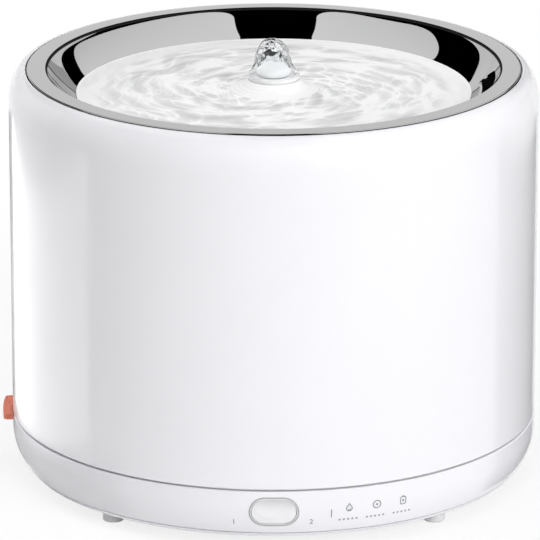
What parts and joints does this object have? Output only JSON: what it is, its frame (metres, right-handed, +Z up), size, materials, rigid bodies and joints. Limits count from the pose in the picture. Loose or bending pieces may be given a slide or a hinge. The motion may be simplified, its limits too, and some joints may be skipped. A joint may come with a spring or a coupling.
{
  "type": "pet water fountain",
  "caption": "Round cordless pet water fountain: steel drinking tray with a central spring and overflow slot on a white tank, with filter, magnetic pump and a battery base with a mode button.",
  "frame": {"origin": "on the vertical axis of the tank, at the level that the four feet stand on", "axes": "+Z up along the tank's axis; the mode button and status lights face -Y; the charging port and its tongue face -X; the tray's overflow slot is towards +X"},
  "size_m": [0.1936, 0.19, 0.16],
  "materials": {
    "white_plastic": "smooth glossy moulding",
    "button_plastic": "smooth",
    "grey_trim": "satin",
    "grey_plastic": "satin",
    "black_plastic": "matt",
    "light_guide": "translucent grey, unlit",
    "grey_silicone": "matt silicone",
    "orange_silicone": "satin silicone",
    "polished_steel": "mirror-polished stainless steel",
    "plated_steel": "plated",
    "screw_steel": "zinc-plated",
    "bronze_bush": "sintered, oiled",
    "copper_winding": "enamelled wire",
    "magnet_plating": "nickel-plated",
    "axle_ceramic": "ground ceramic",
    "circuit_board": "solder-masked laminate",
    "cell_wrap": "film-wrapped cell",
    "filter_foam": "open-cell foam",
    "filter_cotton": "non-woven pad",
    "filter_resin": "packed beads",
    "filter_carbon": "packed granules",
    "water": "clear water"
  },
  "bodies": {
    "base": {"base_shell": "white_plastic", "bottom_cover": "white_plastic", "feet": "grey_silicone", "cover_screws": "screw_steel", "tank_seat_ring": "grey_silicone", "light_board": "circuit_board", "status_leds": "light_guide", "drop_light": "light_guide", "filter_light": "light_guide", "battery_light": "light_guide", "level_pips": "light_guide", "button_frame": "grey_trim", "switch_housing": "black_plastic", "switch_board": "circuit_board", "port_bezel": "grey_trim", "usb_socket": "plated_steel", "port_board": "circuit_board", "motor_case": "plated_steel", "motor_coils": "copper_winding", "motor_bush": "bronze_bush", "battery_cells": "cell_wrap", "battery_strap": "black_plastic", "control_board": "circuit_board", "board_components": "black_plastic"},
    "mode_button": {"mode_button": "button_plastic", "switch_plunger": "black_plastic"},
    "port_cover": {"port_cover": "orange_silicone"},
    "drive_rotor": {"drive_shaft": "screw_steel", "drive_magnet": "magnet_plating"},
    "tank": {"tank_shell": "white_plastic"},
    "pump": {"pump_cage": "white_plastic", "cage_lid": "white_plastic", "foam_sleeve": "filter_foam", "pump_body": "grey_plastic", "pump_cover": "grey_plastic", "impeller_axle": "axle_ceramic", "riser_tube": "grey_plastic"},
    "impeller": {"impeller_magnet": "magnet_plating", "impeller_wheel": "grey_plastic"},
    "filter": {"filter_basket": "white_plastic", "cotton_pad": "filter_cotton", "resin_bed": "filter_resin", "carbon_bed": "filter_carbon", "filter_lid": "white_plastic"},
    "tray": {"drinking_tray": "polished_steel", "tray_seal": "grey_silicone", "spout_nozzle": "white_plastic", "spout_gasket": "grey_silicone", "spout_nut": "white_plastic", "water_pool": "water", "water_jet": "water"}
  },
  "joints": [
    {"name": "button_press", "type": "slide", "parent": "base", "child": "mode_button", "axis": [0, 1, 0], "range_m": [0, 0.0008], "stiffness_N_per_m": 1500, "springref_m": -0.0006},
    {"name": "port_cover_hinge", "type": "hinge", "parent": "base", "child": "port_cover", "pos_m": [-0.0921, 0, 0.0096], "axis": [0, -1, 0], "range_deg": [0, 95]},
    {"name": "rotor_spin", "type": "hinge", "parent": "base", "child": "drive_rotor", "pos_m": [0, 0, 0.0185], "axis": [0, 0, 1], "continuous": true},
    {"name": "impeller_spin", "type": "hinge", "parent": "pump", "child": "impeller", "pos_m": [0, 0, 0.033], "axis": [0, 0, 1], "continuous": true},
    {"name": "tank_lift", "type": "slide", "parent": "base", "child": "tank", "axis": [0, 0, 1], "range_m": [0, 0.06]},
    {"name": "pump_lift", "type": "slide", "parent": "tank", "child": "pump", "axis": [0, 0, 1], "range_m": [0, 0.14]},
    {"name": "filter_lift", "type": "slide", "parent": "pump", "child": "filter", "axis": [0, 0, 1], "range_m": [0, 0.08]},
    {"name": "tray_lift", "type": "slide", "parent": "filter", "child": "tray", "axis": [0, 0, 1], "range_m": [0, 0.06]}
  ],
  "couplings": [
    {"joint": "impeller_spin", "follows": "rotor_spin", "ratio": 1}
  ]
}
